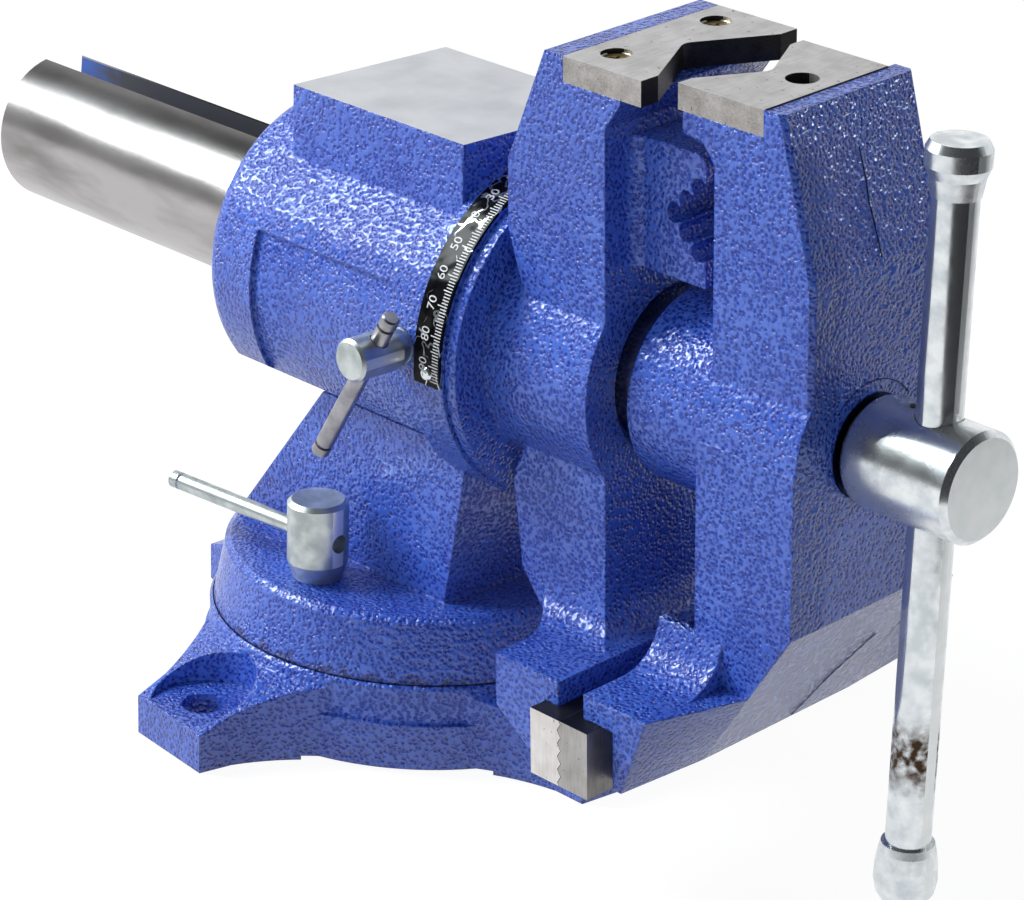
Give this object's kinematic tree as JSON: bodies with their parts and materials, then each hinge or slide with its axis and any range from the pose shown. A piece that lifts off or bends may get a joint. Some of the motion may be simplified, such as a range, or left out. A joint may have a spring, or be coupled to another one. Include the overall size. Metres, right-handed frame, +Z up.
{
  "type": "swivel bench vise",
  "caption": "Bench vise with a swivelling base, a rolling head, V inserts, a pipe notch, serrated lower jaws, an anvil and a tube slide driven by a screw.",
  "frame": {"origin": "on the bench under the ears, on the axis that the turntable swivels about", "axes": "+X along the vise axis from the housing to the handle, +Y away from the head lock, +Z up"},
  "size_m": [0.3724, 0.1844, 0.2167],
  "materials": {
    "blue_enamel": "hammertone enamel on cast iron",
    "ground_steel": "ground steel",
    "tube_steel": "turned steel",
    "zinc_plate": "bright zinc plate",
    "yellow_zinc": "yellow passivated zinc plate",
    "black_steel": "black oxide steel",
    "black_anodised": "black anodised strip with pale marks",
    "bronze": "cast bronze"
  },
  "bodies": {
    "base": {"base_plate": "blue_enamel"},
    "turntable": {"swivel_body": "blue_enamel", "pivot_bolt": "black_steel", "pivot_washer": "black_steel", "base_lock_nuts": "black_steel", "angle_scale": "black_anodised", "scale_rivets": "zinc_plate", "head_lock_shoe": "bronze"},
    "base_lock_near": {"base_lock_screw_near": "zinc_plate"},
    "base_lock_near_bar": {"base_lock_bar_near": "zinc_plate"},
    "base_lock_far": {"base_lock_screw_far": "zinc_plate"},
    "base_lock_far_bar": {"base_lock_bar_far": "zinc_plate"},
    "head_lock": {"head_lock_screw": "zinc_plate"},
    "head_lock_tommy": {"head_lock_bar": "zinc_plate"},
    "head": {"static_jaw": "blue_enamel", "retaining_ring": "black_steel", "retaining_ring_screws": "black_steel", "static_v_insert": "ground_steel", "static_v_screws": "yellow_zinc", "static_plate": "ground_steel", "static_plate_screws": "black_steel", "lead_nut": "bronze", "lead_nut_screw": "black_steel"},
    "slide": {"moving_jaw": "blue_enamel", "slide_bar": "tube_steel", "moving_v_insert": "ground_steel", "moving_v_screw": "black_steel", "moving_plate": "ground_steel", "moving_plate_screws": "black_steel", "thrust_washer": "black_steel"},
    "screw": {"lead_screw": "tube_steel", "screw_head": "zinc_plate", "screw_head_pin": "black_steel", "screw_collar": "black_steel", "collar_pin": "black_steel"},
    "handle": {"handle_bar": "zinc_plate", "handle_knobs": "zinc_plate"}
  },
  "joints": [
    {"name": "base_swivel", "type": "hinge", "parent": "base", "child": "turntable", "pos_m": [0, 0, 0.026], "axis": [0, 0, 1], "continuous": true},
    {"name": "head_roll", "type": "hinge", "parent": "turntable", "child": "head", "pos_m": [0, 0, 0.1236], "axis": [1, 0, 0], "continuous": true},
    {"name": "jaw_slide", "type": "slide", "parent": "head", "child": "slide", "axis": [1, 0, 0], "range_m": [0, 0.12]},
    {"name": "screw_turn", "type": "hinge", "parent": "slide", "child": "screw", "pos_m": [0.18, 0, 0.1236], "axis": [1, 0, 0], "range_deg": [-1, 7201]},
    {"name": "handle_slide", "type": "slide", "parent": "screw", "child": "handle", "axis": [0, 0, 1], "range_m": [-0.056, 0.087]},
    {"name": "base_lock_near_turn", "type": "hinge", "parent": "turntable", "child": "base_lock_near", "pos_m": [0.0007, -0.0442, 0.05], "axis": [0, 0, 1], "range_deg": [0, 160]},
    {"name": "base_lock_near_bar_slide", "type": "slide", "parent": "base_lock_near", "child": "base_lock_near_bar", "axis": [-0.9965, -0.0837, 0], "range_m": [-0.045, 0]},
    {"name": "base_lock_far_turn", "type": "hinge", "parent": "turntable", "child": "base_lock_far", "pos_m": [0.0007, 0.0442, 0.05], "axis": [0, 0, 1], "range_deg": [-160, 0]},
    {"name": "base_lock_far_bar_slide", "type": "slide", "parent": "base_lock_far", "child": "base_lock_far_bar", "axis": [-0.9965, 0.0837, 0], "range_m": [-0.045, 0]},
    {"name": "head_lock_turn", "type": "hinge", "parent": "turntable", "child": "head_lock", "pos_m": [0.0375, -0.055, 0.1256], "axis": [0, 1, 0], "range_deg": [-90, 90]},
    {"name": "head_lock_bar_slide", "type": "slide", "parent": "head_lock", "child": "head_lock_tommy", "axis": [-0.5105, 0, -0.8599], "range_m": [-0.03, 0.005]}
  ],
  "couplings": [
    {"joint": "screw_turn", "follows": "jaw_slide", "rad_per_m": 1047.2}
  ]
}
